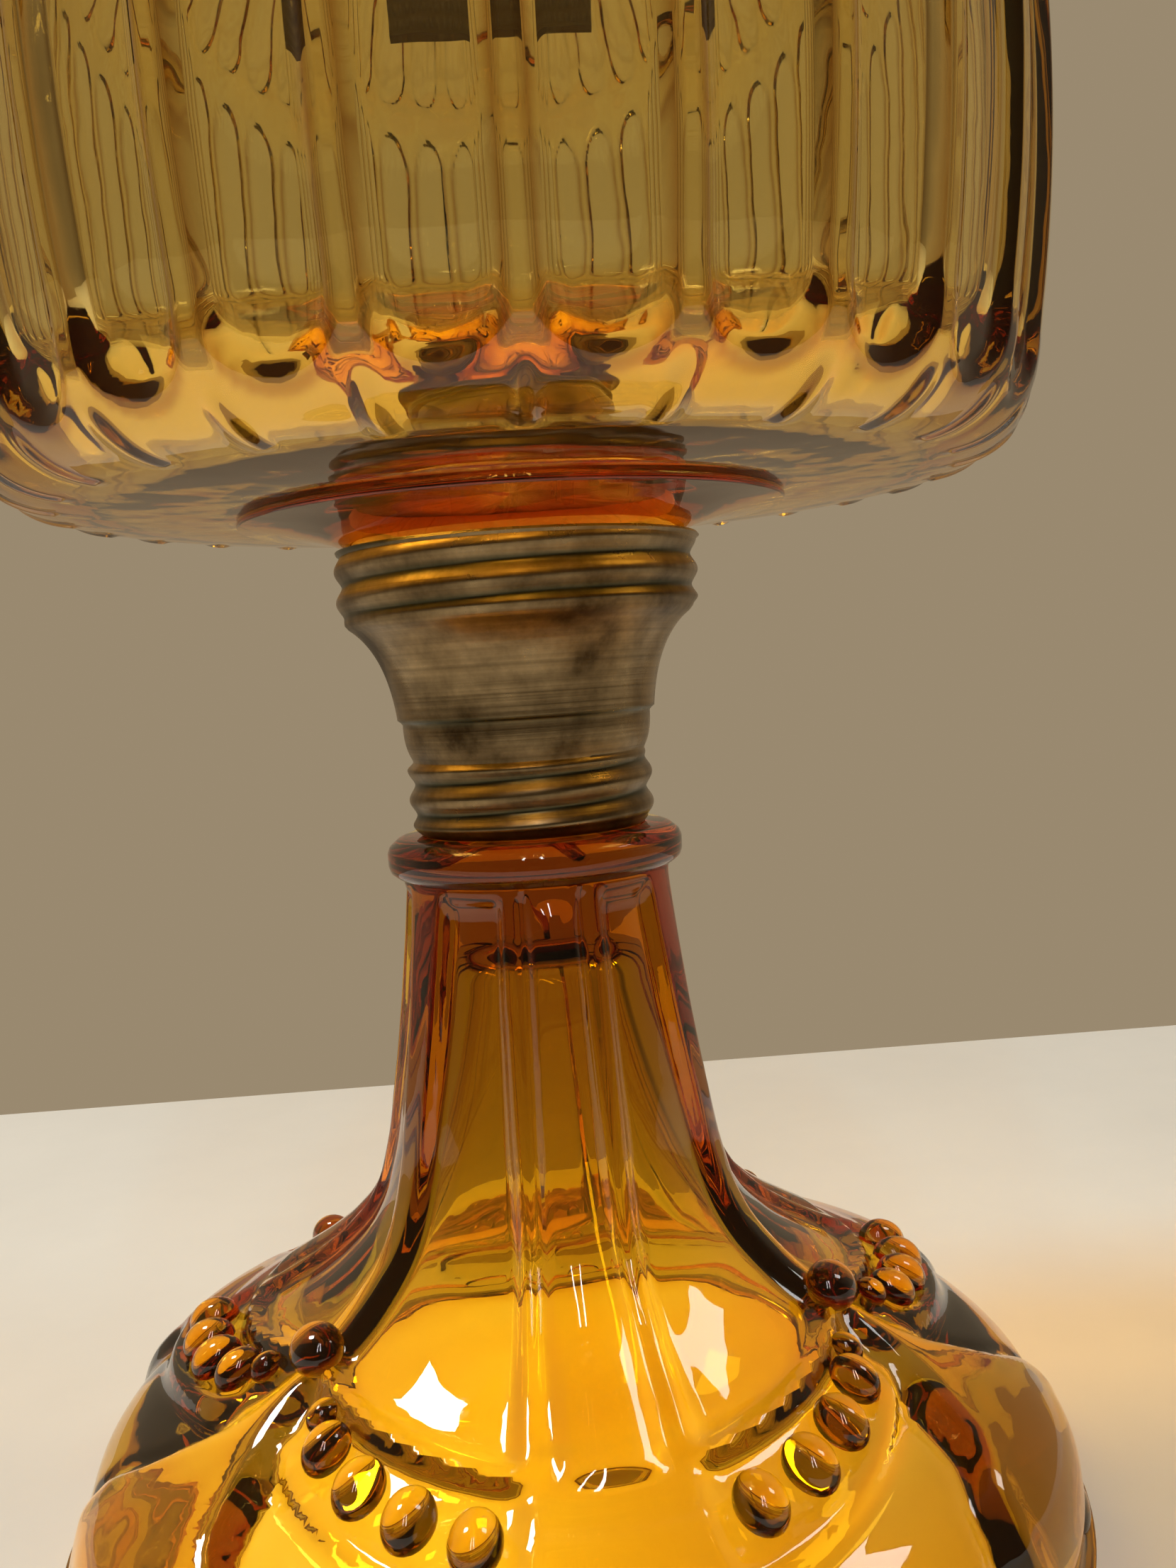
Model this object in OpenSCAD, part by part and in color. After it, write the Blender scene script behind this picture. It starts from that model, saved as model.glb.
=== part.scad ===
// Amber pressed-glass oil lamp: bell foot, spun brass connector, fluted font, flat-wick burner.
// Millimetres, +Z up, origin at the centre of the foot's resting rim, front towards -Y.

/* [Foot] */
// Height of the foot, table to the top of its neck ring
foot_h = 85; // [80:1:92]
// Largest radius of the foot
foot_r = 61.2; // [58:0.2:64]
// Radius of the stem just under the neck ring
stem_r = 16; // [15:0.2:16.6]
// Radius of the neck ring
ring_r = 17.6; // [17:0.2:19]
// Wall of the bell
foot_wall = 5; // [4:0.5:6]
// Radius of the peg that the connector is cemented on
foot_peg_r = 11.2; // [10:0.2:12]

/* [Connector] */
// Height of the brass connector
connector_h = 33.4; // [32:0.2:36]
// Crest radius of the lower rolled thread
lower_r = 14.55; // [14:0.05:15]
// Crest radius of the upper rolled thread
upper_r = 21.3; // [21:0.1:22]
// Pitch of both rolled threads
roll_pitch = 3.6; // [3:0.1:4]
// Depth of both rolled threads
roll_depth = 0.8; // [0.5:0.1:1]
// Thickness of the spun sheet
sheet = 0.7; // [0.5:0.1:0.9]

/* [Font] */
// Largest radius of the font
font_r = 61.6; // [60:0.2:64]
// Height of the font, connector rim to the top of its neck
font_h = 92; // [88:1:98]
// Wall of the font
font_wall = 3; // [2.5:0.5:4]
// Radius of the boss ring under the font
boss_r = 31.8; // [29:0.2:34]
// Radius of the peg that the connector is cemented on
font_peg_r = 17; // [15:0.2:18]
// Outside radius of the neck
neck_r = 20; // [19.7:0.1:20.3]
// Radius of the mouth
mouth_r = 17; // [16.8:0.1:17.2]

/* [Burner] */
// Bore radius of the threaded collar
collar_bore_r = 15.7; // [15.7:0.1:15.9]
// Radius of the burner's screw shell
screw_r = 15.6; // [15.5:0.05:15.65]
// Radius of the seat that a chimney stands on
seat_r = 39.4; // [38:0.2:40]
// Number of prongs that grip the chimney
prong_count = 4; // [3:1:6]
// Number of air holes round the basket
basket_hole_count = 24; // [16:2:28]
// Width of the wick
wick_w = 25; // [20:0.5:25]
// Thickness of the wick
wick_t = 2.2; // [1.8:0.1:2.4]
// Length of the wick
wick_l = 64; // [50:1:80]
// Radius of the thumb wheel
knob_r = 9; // [7:0.5:11]
// Teeth on each spur wheel
spur_teeth = 10; // [8:1:14]

/* [Hidden] */
$fn = 96;

curve_steps = 8;
connector_top = foot_h + connector_h;
neck_top = connector_top + font_h;
foot_peg_top = foot_h + 13;
font_peg_bottom = foot_h + 24.5;
shoulder_r = 15.2;                        // connector, above its small ledge
ledge_z = foot_h + 13.6;
lip_z = foot_h + 25;
collar_top = neck_top + 2;
burner_floor = collar_top + 0.1;          // underside of the burner's flange
shaft_z = burner_floor + 8.2;
shaft_y = -5.1;
shaft_r = 0.95;
spur_r = 3.9;
spur_x = 6;
bowl_top = burner_floor + 12;
diaphragm_z = bowl_top + 3.2;
basket_top = bowl_top + 6;
seat_z = basket_top;
tube_w = wick_w + 3;
tube_t = wick_t + 2.8;
tube_wall = 0.8;
tube_bottom = burner_floor - 5.5;
tube_top = burner_floor + 25.5;
wick_top = tube_top + 2;
knob_x = 42;
knob_t = 3.2;
knob_hub = 2.6;
knob_bore_end = knob_x + knob_t - 0.8;
shaft_start = -10;
sleeve_r = 2.2;
sleeve_x = 15;
vent_r = 1.8;
vent_y = 8.5;
brass = 0.8;                              // sheet of the collar and the burner
bowl_r = 28;
rim_r = 29;                               // where basket, gallery and dome meet
prong_h = 17;
prong_w = 9;

// Points along a quadratic curve from a to c that leans towards b.
function curve(a, b, c) = [for (i = [0:curve_steps]) let (t = i / curve_steps)
    (1 - t) * (1 - t) * a + 2 * t * (1 - t) * b + t * t * c];

// Outline of a rolled thread as rings: it starts and ends at its root, at radius crest - depth.
function rolled(crest, z, turns, inward = 0) = [for (i = [0:8 * turns])
    [crest - roll_depth * (0.5 + 0.5 * cos(45 * i)) - inward, z + i * roll_pitch / 8]];

function flip(points) = [for (i = [len(points) - 1:-1:0]) points[i]];

module turned(points) {
    rotate_extrude() polygon(points);
}

module slot(w, t, z, h) {
    translate([-w / 2, -t / 2, z]) cube([w, t, h]);
}

module foot() {
    stem_bottom = [22.6, foot_h - 43.5];
    skirt_top = [35.7, 29.5];
    outer = concat(
        curve([foot_r - 2.2, 0], [foot_r, 0], [foot_r, 4]),
        [[foot_r - 0.9, 6.6]],
        curve([foot_r - 1.6, 10], [foot_r - 3.7, 22], skirt_top),
        curve(skirt_top, [24.6, 35], stem_bottom),
        curve(stem_bottom, [stem_r + 2.5, foot_h - 35], [stem_r, foot_h - 5.2]));
    ring = [[ring_r - 0.4, foot_h - 4.6], [ring_r, foot_h - 3.8], [ring_r, foot_h - 1.6],
            [ring_r - 1.8, foot_h - 0.1], [foot_peg_r, foot_h - 0.1]];
    peg = [[foot_peg_r, foot_peg_top - 1], [foot_peg_r - 1, foot_peg_top], [0, foot_peg_top]];
    core_r = stem_r - foot_wall - 2;
    inner = concat(
        [[0, foot_h - 13]],
        curve([2, foot_h - 13], [core_r, foot_h - 13.5], [core_r, foot_h - 19]),
        curve([core_r, foot_h - 19], [core_r + 5.5, 36], [31, 25.5]),
        curve([31, 25.5], [foot_r - 7.5, 18.5], [foot_r - foot_wall - 0.6, 6]),
        [[foot_r - foot_wall, 0]]);
    color("darkorange") turned(concat(outer, ring, peg, inner));
}

module plaster_lower() {
    fill_r = lower_r - roll_depth - sheet - 0.15;
    color("ivory") turned([[foot_peg_r, foot_h + 0.1], [fill_r, foot_h + 0.1], [fill_r, foot_peg_top + 1.5],
                           [0, foot_peg_top + 1.5], [0, foot_peg_top], [foot_peg_r - 1, foot_peg_top],
                           [foot_peg_r, foot_peg_top - 1]]);
}

module connector() {
    outer = concat(
        [[lower_r - roll_depth, foot_h]],
        rolled(lower_r, foot_h + 0.7, 2),
        curve([lower_r - 0.5, foot_h + 8.4], [lower_r + 0.3, foot_h + 10.5], [lower_r, ledge_z - 0.2]),
        curve([shoulder_r, ledge_z], [shoulder_r + 0.8, ledge_z + 8], [upper_r - 1.2, lip_z - 0.5]),
        [[upper_r - 0.6, lip_z]],
        rolled(upper_r, lip_z + 0.7, 2));
    rim = [[upper_r, connector_top - 0.4], [upper_r, connector_top], [upper_r - 1.3, connector_top]];
    color("peru") turned(concat(
        outer, rim,
        flip(rolled(upper_r, lip_z + 0.7, 2, sheet)),
        flip(curve([shoulder_r - sheet, ledge_z], [shoulder_r + 0.1, ledge_z + 8.4],
                   [upper_r - 1 - sheet, lip_z + 0.1])),
        [[lower_r - sheet - 0.1, ledge_z - 0.8]],
        flip(rolled(lower_r, foot_h + 0.7, 2, sheet)),
        [[lower_r - roll_depth - sheet, foot_h]]));
}

module plaster_upper() {
    fill_r = upper_r - roll_depth - sheet - 0.05;
    cone = curve([shoulder_r - sheet, ledge_z + 1.5], [shoulder_r - 0.1, ledge_z + 8.3],
                 [fill_r - 0.2, lip_z + 0.1]);
    color("ivory") turned(concat(
        [[0, ledge_z + 1.5]], cone,
        [[fill_r, lip_z + 0.8], [fill_r, connector_top - 0.8], [font_peg_r, connector_top - 0.8],
         [font_peg_r, font_peg_bottom], [0, font_peg_bottom]]));
}

module font() {
    base_z = connector_top + 3.6;
    shoulder = [font_r - 7.6, neck_top - 20];
    outer = concat(
        [[0, font_peg_bottom], [font_peg_r, font_peg_bottom], [font_peg_r, connector_top - 0.8]],
        curve([upper_r - 1.9, connector_top + 0.2], [upper_r + 2, connector_top + 2.4],
              [boss_r, base_z - 0.4]),
        [[boss_r, base_z]],
        curve([font_r - 14.6, base_z + 1.1], [font_r - 3.1, base_z + 1.8], [font_r - 1.6, base_z + 14]),
        curve([font_r - 1.6, base_z + 14], [font_r + 0.3, base_z + 30], [font_r, base_z + 38]),
        curve([font_r, base_z + 38], [font_r - 0.3, neck_top - 27.5], shoulder),
        curve(shoulder, [font_r - 15.6, neck_top - 13], [neck_r + 3.5, neck_top - 7]),
        [[neck_r, neck_top - 5.6], [neck_r, neck_top], [mouth_r, neck_top]]);
    inner_r = font_r - font_wall;
    inner_shoulder = [shoulder[0] - 2.4, shoulder[1] - 2.4];
    inner = concat(
        [[mouth_r, neck_top - 7.5]],
        curve([mouth_r + 2.5, neck_top - 9.8], [font_r - 17.5, neck_top - 16.2], inner_shoulder),
        curve(inner_shoulder, [inner_r - 0.2, neck_top - 29], [inner_r, base_z + 38]),
        curve([inner_r, base_z + 38], [inner_r + 0.3, base_z + 30], [inner_r - 1.4, base_z + 17]),
        curve([inner_r - 1.4, base_z + 17], [inner_r - 3.2, base_z + 6.4], [inner_r - 15, base_z + 6]),
        [[0, base_z + 6]]);
    color("goldenrod") turned(concat(outer, inner));
}

module collar_plaster() {
    color("ivory") turned([[neck_r, neck_top - 5], [neck_r + 1.15, neck_top - 5],
                           [neck_r + 1.15, collar_top - 0.85], [mouth_r, collar_top - 0.85],
                           [mouth_r, neck_top], [neck_r, neck_top]]);
}

module collar() {
    skirt_r = neck_r + 1.2;
    color("darkkhaki") turned([[collar_bore_r, neck_top - 5], [collar_bore_r + brass, neck_top - 5],
                               [collar_bore_r + brass, collar_top - brass], [skirt_r, collar_top - brass],
                               [skirt_r, neck_top - 5.2], [skirt_r + brass, neck_top - 5.2],
                               [skirt_r + brass, collar_top], [collar_bore_r, collar_top]]);
}

module burner_base() {
    shell_bottom = burner_floor - 6;
    color("goldenrod") difference() {
        turned(concat(
            [[screw_r - brass, shell_bottom], [screw_r, shell_bottom], [screw_r, burner_floor],
             [screw_r + 5, burner_floor]],
            curve([screw_r + 6, burner_floor + 0.4], [bowl_r - 1, burner_floor + 3], [bowl_r, bowl_top]),
            [[bowl_r - brass, bowl_top]],
            flip(curve([screw_r + 5.6, burner_floor + brass], [bowl_r - 1.9, burner_floor + 3.6],
                       [bowl_r - brass, bowl_top - brass])),
            [[0, burner_floor + brass], [0, burner_floor], [screw_r - brass, burner_floor]]));
        slot(tube_w + 0.02, tube_t + 0.02, burner_floor - 1, 3);
        translate([0, vent_y, burner_floor - 1]) cylinder(r = vent_r, h = 3);
        translate([sleeve_x, shaft_y, shaft_z]) rotate([0, 90, 0]) cylinder(r = sleeve_r, h = 20);
    }
}

module air_basket() {
    color("goldenrod") difference() {
        turned([[bowl_r - brass, bowl_top], [bowl_r, bowl_top],
                [rim_r + brass, basket_top], [rim_r, basket_top]]);
        for (k = [0:basket_hole_count - 1])
            rotate([0, 0, 360 * k / basket_hole_count])
                translate([24, 0, bowl_top + 4.4]) rotate([0, 90, 0]) cylinder(r = 1.1, h = 10);
    }
}

module air_diaphragm() {
    rows = [10, 15, 20, 24.5];
    color("goldenrod") difference() {
        translate([0, 0, diaphragm_z - 0.6]) cylinder(r = 27.95, h = 0.6);
        slot(tube_w + 0.4, tube_t + 0.4, diaphragm_z - 2, 4);
        for (r = rows, k = [0:round(r * 0.8) - 1])
            let (a = 360 * k / round(r * 0.8))
                if (abs(r * sin(a)) > tube_t / 2 + 1.6 || abs(r * cos(a)) > tube_w / 2 + 1.6)
                    translate([r * cos(a), r * sin(a), diaphragm_z - 2]) cylinder(r = 0.9, h = 4);
    }
}

module wick_tube() {
    window_h = 8;
    color("goldenrod") difference() {
        slot(tube_w, tube_t, tube_bottom, tube_top - tube_bottom);
        slot(tube_w - 2 * tube_wall, tube_t - 2 * tube_wall, tube_bottom - 1, tube_top - tube_bottom + 2);
        for (side = [-1, 1])
            translate([side * spur_x - 1.4, -tube_t, shaft_z - window_h / 2]) cube([2.8, tube_t, window_h]);
    }
}

module vent_tube() {
    color("goldenrod") translate([0, vent_y, burner_floor - 4]) difference() {
        cylinder(r = vent_r, h = 14);
        translate([0, 0, -1]) cylinder(r = vent_r - 0.6, h = 16);
    }
}

module gallery_ring() {
    color("goldenrod") turned([[rim_r, seat_z], [seat_r, seat_z], [seat_r, seat_z + 1.6],
                               [seat_r - brass, seat_z + 1.6], [seat_r - brass, seat_z + brass],
                               [rim_r + brass, seat_z + brass], [rim_r + brass, seat_z + 3],
                               [rim_r, seat_z + 3]]);
}

module chimney_prongs() {
    color("goldenrod") for (k = [0:prong_count - 1])
        rotate([0, 0, 45 + 360 * k / prong_count])
            translate([seat_r, prong_w / 2, seat_z]) rotate([90, 0, 0]) linear_extrude(prong_w)
                polygon([[0, 0], [0.8, 0], [0.9, prong_h * 0.55], [0.3, prong_h * 0.7], [2, prong_h],
                         [1.3, prong_h], [-0.5, prong_h * 0.7], [0, prong_h * 0.5]]);
}

module deflector_cone() {
    edge_z = seat_z + 0.9;
    outer = concat(
        [[rim_r, edge_z]],
        curve([rim_r, seat_z + 2.6], [28.6, seat_z + 11.5], [15, seat_z + 13.8]),
        curve([15, seat_z + 13.8], [8, seat_z + 15], [0, seat_z + 15]));
    inner = concat(
        curve([0, seat_z + 14.3], [8, seat_z + 14.3], [14.7, seat_z + 13.1]),
        curve([14.7, seat_z + 13.1], [27.8, seat_z + 10.9], [rim_r - 0.7, seat_z + 2.6]),
        [[rim_r - 0.7, edge_z]]);
    color("goldenrod") difference() {
        turned(concat(outer, inner));
        slot(tube_w + 2, tube_t + 3, seat_z + 8, 12);
    }
}

module shaft_sleeve() {
    color("goldenrod") translate([sleeve_x, shaft_y, shaft_z]) rotate([0, 90, 0]) difference() {
        cylinder(r = sleeve_r, h = 18);
        translate([0, 0, -1]) cylinder(r = shaft_r + 0.05, h = 20);
    }
}

module wick_shaft() {
    color("dimgray") translate([shaft_start, shaft_y, shaft_z]) rotate([0, 90, 0])
        cylinder(r = shaft_r, h = knob_bore_end - shaft_start);
}

module spur_wheels() {
    star = [for (k = [0:2 * spur_teeth - 1])
        let (r = k % 2 == 0 ? spur_r : spur_r - 1.1, a = 180 * k / spur_teeth) [r * cos(a), r * sin(a)]];
    color("gray") for (side = [-1, 1])
        translate([side * spur_x - 0.8, shaft_y, shaft_z]) rotate([0, 90, 0]) linear_extrude(1.6)
            difference() {
                polygon(star);
                circle(r = shaft_r);
            }
}

module wick_knob() {
    flutes = 28;
    color("goldenrod") translate([knob_x, shaft_y, shaft_z]) rotate([0, 90, 0]) difference() {
        union() {
            translate([0, 0, -knob_hub]) cylinder(r = 2.4, h = knob_hub);
            cylinder(r = knob_r, h = knob_t);
        }
        translate([0, 0, -knob_hub - 1]) cylinder(r = shaft_r, h = knob_bore_end - knob_x + knob_hub + 1);
        for (k = [0:flutes - 1])
            rotate([0, 0, 360 * k / flutes])
                translate([knob_r + 0.3, 0, -1]) cylinder(r = 0.6, h = knob_t + 2);
    }
}

module wick() {
    color("linen") slot(wick_w, wick_t, wick_top - wick_l, wick_l);
}

foot();
plaster_lower();
connector();
plaster_upper();
font();
collar_plaster();
collar();
burner_base();
air_basket();
air_diaphragm();
wick_tube();
vent_tube();
gallery_ring();
chimney_prongs();
deflector_cone();
shaft_sleeve();
wick_shaft();
spur_wheels();
wick_knob();
wick();
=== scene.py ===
"""Looks of an amber pressed-glass oil lamp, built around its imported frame."""

import math

import bpy
import numpy as np
from mathutils import Matrix, Vector


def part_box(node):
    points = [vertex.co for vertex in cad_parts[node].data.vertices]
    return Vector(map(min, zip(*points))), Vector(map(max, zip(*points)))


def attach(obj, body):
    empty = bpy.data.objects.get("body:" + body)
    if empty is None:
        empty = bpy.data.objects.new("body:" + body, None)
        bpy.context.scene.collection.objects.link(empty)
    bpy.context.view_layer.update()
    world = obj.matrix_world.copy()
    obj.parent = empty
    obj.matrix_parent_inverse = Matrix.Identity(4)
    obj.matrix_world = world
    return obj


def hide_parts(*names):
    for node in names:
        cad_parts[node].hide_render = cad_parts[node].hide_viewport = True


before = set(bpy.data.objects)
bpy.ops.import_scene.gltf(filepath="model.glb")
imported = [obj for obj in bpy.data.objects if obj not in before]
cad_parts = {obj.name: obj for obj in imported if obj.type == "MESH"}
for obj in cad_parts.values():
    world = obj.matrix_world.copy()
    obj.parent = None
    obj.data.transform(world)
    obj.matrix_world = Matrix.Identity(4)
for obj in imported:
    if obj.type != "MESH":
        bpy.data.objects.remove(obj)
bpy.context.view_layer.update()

bl_info = {
    "name": "Pressed-Glass Oil Lamp",
    "version": (1, 0, 0),
    "blender": (4, 5, 0),
    "location": "3D Viewport > Sidebar > Oil Lamp",
    "description": "Models the glass, brass and wick of a pressed-glass oil lamp",
    "category": "Object",
}

MM = 0.001
FOOT_TURN = 4.8                # degrees from the front to the middle of the foot's ribbon
FONT_TURN = 1.7                # degrees from the front to the middle of a font rib
FOOT_STEPS = 384
FONT_STEPS = 448
RING_STEPS = 192
GLASS_INDEX = 1.52
RIB_SHADE_COLOR = (0.36, 0.13, 0.02, 1)     # painted shade along the edges of the font's flutes, where the thick glass looks dark
SHADOW_TINT = (0.95, 0.87, 0.62, 1)    # light that one glass surface lets through to what lies behind
FINISHES = {}

CONNECTOR_LOW = 85.0                   # the connector's lower edge and top, in mm
CONNECTOR_TOP = 118.4
THREAD_PITCH = 3.6
THREAD_RISE = 0.8
SHEET = 0.7                            # thickness of the connector's brass
# Each rolled thread: height of a crest at the front, lower and upper end of the thread.
THREADS = ((86.4, 85.3, 93.6), (109.8, 110.1, 119.0))

FLUTE_LOW = 131.4                      # middles of a flute's round lower and upper ends, in mm
FLUTE_HIGH = 181.0
FLUTE_TOP = 189.5                      # the wall's flutes stop here
DOME_LOW = 193.6                       # middle of a dome panel's round lower end
FLUTE_EDGE = 1.15                      # half the width of the rib between two flutes
RIB_CROWDING = 0.62                    # how much closer the mesh's meridians run at a rib, from 0 to 1

# Distances below the wick's top edge, in metres: soaked from and to, charred from and to.
WICK_BANDS = (0.045, 0.02, 0.006, 0.002)

FLOOR_SIDE = 0.9                       # from the axis to the floor's sides, in metres
FLOOR_FRONT = 0.42
FLOOR_THICKNESS = 0.03
FRONT_SHADE = 0.12                     # brightness of the room in front of the lamp, beside the backdrop's
CAMERA_PLACE = (0, -0.1640, 0.1035)
CAMERA_TURN = (2.373, 4.852, 3.675)    # degrees of yaw, pitch down and roll
CAMERA_LENS = 31.51
# Each light: name, place, what it points at, width and length in metres, watts.
LIGHTS = (
    ("window", (-0.5, 0.1, 0.95), (0, 0, 0.05), 0.2, 0.26, 5.6),
    ("fill", (0.6, 0.0, 0.8), (0, 0, 0.05), 0.2, 0.3, 1.6),
    ("strip_left", (-0.1, -0.5, 0.62), (0, 0, 0.04), 0.025, 0.45, 0.8),
    ("strip_right", (0.04, -0.5, 0.62), (0, 0, 0.04), 0.025, 0.45, 0.8),
)

# Envelope of the foot from under its neck ring down to the rim: radius and height in mm.
FOOT_ENVELOPE = [
    (15.9, 79.7), (16.6, 73.3), (17.7, 65.0), (18.7, 58.7), (19.4, 54.9), (20.6, 48.3), (22.4, 42.0),
    (24.6, 38.2), (28.5, 34.4), (32.3, 31.6), (35.7, 29.5), (38.8, 27.6), (42.5, 25.5), (47.0, 23.6),
    (51.5, 21.9), (55.2, 19.5), (58.0, 16.5), (59.5, 12.7), (60.0, 9.0), (60.9, 3.2),
]
# Bead middles on each swag: degrees off the ribbon, distance down the foot, half width in mm.
SWAG_BEADS = [(17.4, 67.5, 2.7), (26.5, 66.0, 2.7), (35.4, 64.0, 2.6), (44.1, 61.5, 2.4), (49.2, 58.7, 1.6)]


# ---------------------------------------------------------------- mesh helpers

def clear_selection():
    if bpy.context.object and bpy.context.object.mode != "OBJECT":
        bpy.ops.object.mode_set(mode="OBJECT")
    bpy.ops.object.select_all(action="DESELECT")


def coords(obj):
    """Vertex places of a mesh in mm, as an array of rows."""
    flat = np.empty(len(obj.data.vertices) * 3)
    obj.data.vertices.foreach_get("co", flat)
    return flat.reshape(-1, 3) / MM


def set_coords(obj, places):
    obj.data.vertices.foreach_set("co", (places * MM).ravel())
    obj.data.update()


def polar(places):
    """Distance from the lamp's axis and degrees from the front, for each row."""
    return np.hypot(places[:, 0], places[:, 1]), np.degrees(np.arctan2(places[:, 0], -places[:, 1]))


def crowd(obj, new_angle):
    """Moves each vertex round the axis, from its angle in degrees to new_angle(angle)."""
    places = coords(obj)
    radius, angle = polar(places)
    angle = np.radians(new_angle(angle))
    set_coords(obj, np.column_stack([radius * np.sin(angle), -radius * np.cos(angle), places[:, 2]]))


def smooth(obj, degrees):
    clear_selection()
    obj.select_set(True)
    bpy.context.view_layer.objects.active = obj
    bpy.ops.object.shade_smooth_by_angle(angle=math.radians(degrees))
    clear_selection()


def turned(name, outline, steps, open_chain=False):
    """A closed outline of (radius, height) in mm, spun round the lamp's axis.
    With open_chain the outline starts and ends on the axis."""
    clear_selection()
    count = len(outline)
    bpy.ops.mesh.primitive_circle_add(vertices=count, radius=0.01, fill_type="NOTHING")
    obj = bpy.context.object
    obj.name = name
    places = np.array([(r, 0.0, z) for r, z in outline], dtype=float)
    set_coords(obj, places)
    if open_chain:
        bpy.ops.object.mode_set(mode="EDIT")
        bpy.ops.mesh.select_mode(type="EDGE")
        bpy.ops.mesh.select_all(action="DESELECT")
        bpy.ops.object.mode_set(mode="OBJECT")
        for edge in obj.data.edges:
            edge.select = set(edge.vertices) == {0, count - 1}
        bpy.ops.object.mode_set(mode="EDIT")
        bpy.ops.mesh.delete(type="EDGE")
    else:
        bpy.ops.object.mode_set(mode="EDIT")
    bpy.ops.mesh.select_mode(type="VERT")
    bpy.ops.mesh.select_all(action="SELECT")
    bpy.ops.mesh.spin(steps=steps, angle=2 * math.pi, center=(0, 0, 0), axis=(0, 0, 1))
    bpy.ops.mesh.select_all(action="SELECT")
    bpy.ops.mesh.remove_doubles(threshold=2e-6)
    bpy.ops.mesh.normals_make_consistent(inside=False)
    bpy.ops.object.mode_set(mode="OBJECT")
    return obj


def ellipsoid(name, middle, axes, radii, segments=24, rings=14):
    """A round bead: axes are three unit rows, radii in mm along them."""
    clear_selection()
    bpy.ops.mesh.primitive_uv_sphere_add(segments=segments, ring_count=rings, radius=0.001)
    obj = bpy.context.object
    obj.name = name
    axes = np.array(axes)
    if np.linalg.det(axes) < 0:
        axes[0] *= -1
    set_coords(obj, (coords(obj) * np.array(radii)) @ axes + np.array(middle))
    return obj


def join(parts):
    clear_selection()
    for part in parts:
        part.select_set(True)
    bpy.context.view_layer.objects.active = parts[0]
    bpy.ops.object.join()
    return bpy.context.object


def merge_solids(body, additions):
    """Adds closed solids to a closed body, in one union."""
    solids = join(additions)
    clear_selection()
    bpy.context.view_layer.objects.active = body
    union = body.modifiers.new("union", "BOOLEAN")
    union.operation = "UNION"
    union.solver = "MANIFOLD"
    union.object = solids
    bpy.ops.object.modifier_apply(modifier=union.name)
    bpy.data.objects.remove(solids, do_unlink=True)


def resample(points, step):
    """Evenly spaced points along a polyline, with the distance of each from its start."""
    points = np.array(points, dtype=float)
    lengths = np.hypot(*np.diff(points, axis=0).T)
    along = np.concatenate([[0], np.cumsum(lengths)])
    places = np.linspace(0, along[-1], max(2, int(round(along[-1] / step)) + 1))
    return np.column_stack([np.interp(places, along, points[:, k]) for k in (0, 1)]), places


def relaxed(points, rounds):
    """The same points with corners rounded off; the ends stay."""
    points = points.copy()
    for _ in range(rounds):
        points[1:-1] = 0.25 * points[:-2] + 0.5 * points[1:-1] + 0.25 * points[2:]
    return points


def bow(a, b, c, count):
    """Points on a quadratic curve from a to c leaning towards b."""
    a, b, c = (np.array(p, dtype=float) for p in (a, b, c))
    t = np.linspace(0, 1, count)[:, None]
    return (1 - t) ** 2 * a + 2 * t * (1 - t) * b + t ** 2 * c


def outward(outline):
    """Unit normals of an outline listed anticlockwise in radius and height."""
    tangent = np.gradient(outline, axis=0)
    tangent /= np.maximum(np.hypot(*tangent.T), 1e-9)[:, None]
    return np.column_stack([tangent[:, 1], -tangent[:, 0]])


def step_up(value, start, end):
    t = np.clip((value - start) / (end - start), 0, 1)
    return t * t * (3 - 2 * t)


def relief(obj, outline, height, reach):
    """Moves the vertices that came from the first `reach` outline points along the outline's normal."""
    outline = np.array(outline)
    normals = outward(outline)
    places = coords(obj)
    radius, angle = polar(places)
    rounded = np.round(np.column_stack([radius, places[:, 2]]), 3)
    rings, which = np.unique(rounded, axis=0, return_inverse=True)
    gap = np.hypot(rings[:, None, 0] - outline[None, :, 0], rings[:, None, 1] - outline[None, :, 1])
    index = gap.argmin(axis=1)[which.ravel()]
    rise = height(angle, index, radius, places[:, 2])
    rise = np.where(index < reach, rise, 0)
    moved = radius + normals[index, 0] * rise
    places[:, 2] += normals[index, 1] * rise
    scale = np.where(radius > 1e-6, moved / np.maximum(radius, 1e-6), 1)
    places[:, 0] *= scale
    places[:, 1] *= scale
    set_coords(obj, places)
    return index


def soften(obj, chosen, rounds):
    """Evens out the chosen vertices with their neighbours."""
    clear_selection()
    bpy.context.view_layer.objects.active = obj
    bpy.ops.object.mode_set(mode="EDIT")
    bpy.ops.mesh.select_mode(type="VERT")
    bpy.ops.mesh.select_all(action="DESELECT")
    bpy.ops.object.mode_set(mode="OBJECT")
    obj.data.vertices.foreach_set("select", chosen)
    bpy.ops.object.mode_set(mode="EDIT")
    bpy.ops.mesh.vertices_smooth(factor=0.5, repeat=rounds)
    bpy.ops.object.mode_set(mode="OBJECT")


# ---------------------------------------------------------------- material helpers

def add(tree, kind, _fields=None, **inputs):
    """A node with its fields and its named inputs set; an input that is a socket is linked."""
    node = tree.nodes.new(kind)
    for key, value in (_fields or {}).items():
        setattr(node, key, value)
    for key, value in inputs.items():
        socket = node.inputs[key.replace("_", " ")]
        if isinstance(value, bpy.types.NodeSocket):
            tree.links.new(value, socket)
        else:
            socket.default_value = value
    return node


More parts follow.
